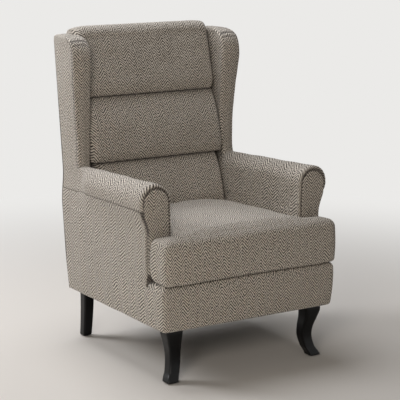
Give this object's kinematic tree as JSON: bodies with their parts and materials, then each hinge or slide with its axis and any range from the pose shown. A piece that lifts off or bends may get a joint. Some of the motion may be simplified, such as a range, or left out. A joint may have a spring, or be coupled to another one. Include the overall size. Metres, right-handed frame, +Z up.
{
  "type": "wing armchair",
  "caption": "High wing-back fireside armchair with a channelled back pad, scrolled arms, a loose T-shaped seat cushion and short black cabriole front legs.",
  "frame": {"origin": "on the floor, under the middle of the chair's outer box", "axes": "+Z up, -Y towards the front of the seat, +X to the right as seen from the front"},
  "size_m": [0.7014, 0.7691, 1.062],
  "materials": {
    "herringbone_cover": "woven herringbone, matt",
    "frame_timber": "planed, unfinished",
    "leg_timber": "black satin lacquer",
    "spring_wire": "drawn wire",
    "webbing": "woven strap",
    "foam": "open-cell foam",
    "glide": "moulded",
    "bolt_steel": "zinc plated",
    "lining": "black lining cloth"
  },
  "bodies": {
    "chair": {"arm_facing_left": "herringbone_cover", "arm_facing_right": "herringbone_cover", "arm_pad_left": "herringbone_cover", "arm_pad_right": "herringbone_cover", "arm_post_left": "frame_timber", "arm_post_right": "frame_timber", "arm_top_rail_left": "frame_timber", "arm_top_rail_right": "frame_timber", "back_channel_lower": "herringbone_cover", "back_channel_middle": "herringbone_cover", "back_channel_upper": "herringbone_cover", "back_lumbar_rail": "frame_timber", "back_top_rail": "frame_timber", "back_upright_left": "frame_timber", "back_upright_right": "frame_timber", "back_webbing_1": "webbing", "back_webbing_2": "webbing", "back_webbing_3": "webbing", "dust_cover": "lining", "front_corner_block_left": "frame_timber", "front_corner_block_right": "frame_timber", "front_leg_bolt_left": "bolt_steel", "front_leg_bolt_right": "bolt_steel", "front_leg_glide_left": "glide", "front_leg_glide_right": "glide", "front_leg_left": "leg_timber", "front_leg_right": "leg_timber", "front_lip_pad": "herringbone_cover", "front_rail_pad": "herringbone_cover", "front_seat_rail": "frame_timber", "outside_arm_panel_left": "herringbone_cover", "outside_arm_panel_right": "herringbone_cover", "outside_back": "herringbone_cover", "rear_corner_block_left": "frame_timber", "rear_corner_block_right": "frame_timber", "rear_leg_bolt_left": "bolt_steel", "rear_leg_bolt_right": "bolt_steel", "rear_leg_glide_left": "glide", "rear_leg_glide_right": "glide", "rear_leg_left": "leg_timber", "rear_leg_right": "leg_timber", "rear_seat_rail": "frame_timber", "seat_deck_pad": "foam", "seat_spring_1": "spring_wire", "seat_spring_2": "spring_wire", "seat_spring_3": "spring_wire", "seat_spring_4": "spring_wire", "seat_spring_5": "spring_wire", "side_seat_rail_left": "frame_timber", "side_seat_rail_right": "frame_timber", "wing_frame_left": "frame_timber", "wing_frame_right": "frame_timber", "wing_pad_left": "herringbone_cover", "wing_pad_right": "herringbone_cover"},
    "seat_cushion": {"seat_cushion_cover": "herringbone_cover", "seat_cushion_foam": "foam", "cushion_zip_tape": "lining"},
    "zip_slider": {"cushion_zip_slider": "bolt_steel"}
  },
  "joints": [
    {"name": "seat_cushion_lift", "type": "slide", "parent": "chair", "child": "seat_cushion", "axis": [0, 0, 1], "range_m": [0, 0.25]},
    {"name": "zip_slide", "type": "slide", "parent": "seat_cushion", "child": "zip_slider", "axis": [1, 0, 0], "range_m": [0, 0.38]}
  ]
}
